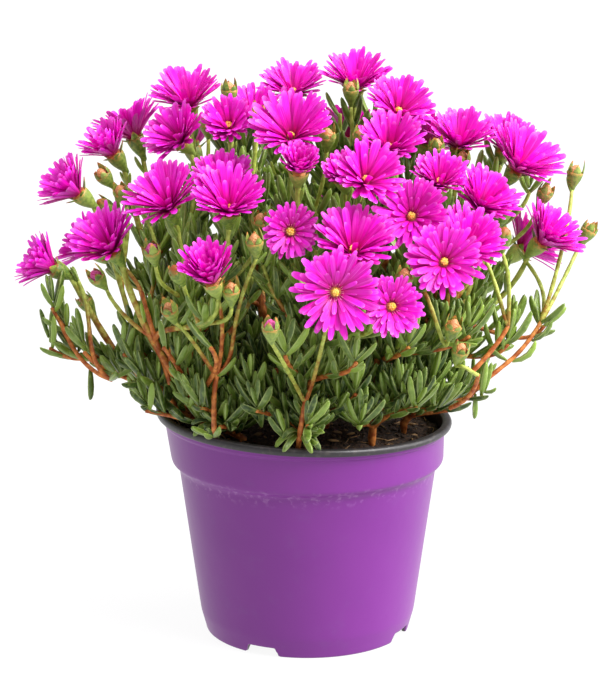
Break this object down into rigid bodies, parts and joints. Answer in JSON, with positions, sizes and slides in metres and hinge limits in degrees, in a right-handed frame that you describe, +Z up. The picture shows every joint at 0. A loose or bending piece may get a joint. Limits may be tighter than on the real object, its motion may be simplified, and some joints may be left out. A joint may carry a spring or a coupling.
{
  "type": "potted ice plant",
  "caption": "Ice plant in full flower in a thin purple plastic grower's pot: a dome of magenta daisy-like blooms on branching stems with plump finger leaves, over dark soil.",
  "frame": {"origin": "bottom centre of the bounding box, on the surface that the pot stands on", "axes": "+Z up along the pot's axis, -Y towards the viewer, +X to the viewer's right"},
  "size_m": [0.2711, 0.2473, 0.2707],
  "materials": {
    "pot_plastic": "satin thermoformed plastic, purple outside, near black at the lip and inside",
    "potting_soil": "matte loose damp peat with fibres and chips of bark",
    "foliage": "plump succulent leaf skin, satin with a fine grey bloom; stems yellow-green to orange-brown",
    "petals": "satin petals, magenta with paler tips, yellow stamens in a dark ring"
  },
  "bodies": {
    "root": {"pot": "pot_plastic", "soil": "potting_soil", "leafy_stem_01": "foliage", "leafy_stem_02": "foliage", "leafy_stem_03": "foliage", "leafy_stem_04": "foliage", "leafy_stem_05": "foliage", "leafy_stem_06": "foliage", "leafy_stem_07": "foliage", "leafy_stem_08": "foliage", "leafy_stem_09": "foliage", "leafy_stem_10": "foliage", "leafy_stem_11": "foliage", "leafy_stem_12": "foliage", "bloom_01": "petals", "bloom_02": "petals", "bloom_03": "petals", "bloom_04": "petals", "bloom_05": "petals", "bloom_06": "petals", "bloom_07": "petals", "bloom_08": "petals", "bloom_09": "petals", "bloom_10": "petals", "bloom_11": "petals", "bloom_12": "petals", "bloom_13": "petals", "bloom_14": "petals", "bloom_15": "petals", "bloom_16": "petals", "bloom_17": "petals", "bloom_18": "petals", "bloom_19": "petals", "bloom_20": "petals", "bloom_21": "petals", "bloom_22": "petals", "bloom_23": "petals", "bloom_24": "petals", "bloom_25": "petals", "bloom_26": "petals", "bloom_27": "petals", "bloom_28": "petals", "bloom_29": "petals", "bloom_30": "petals", "bloom_31": "petals", "bloom_32": "petals", "bloom_33": "petals", "bloom_34": "petals", "bloom_35": "petals", "bloom_36": "petals", "bloom_37": "petals", "bloom_38": "petals", "bloom_39": "petals", "bloom_40": "petals", "bloom_41": "petals", "bloom_42": "petals", "bloom_43": "petals"}
  },
  "joints": []
}
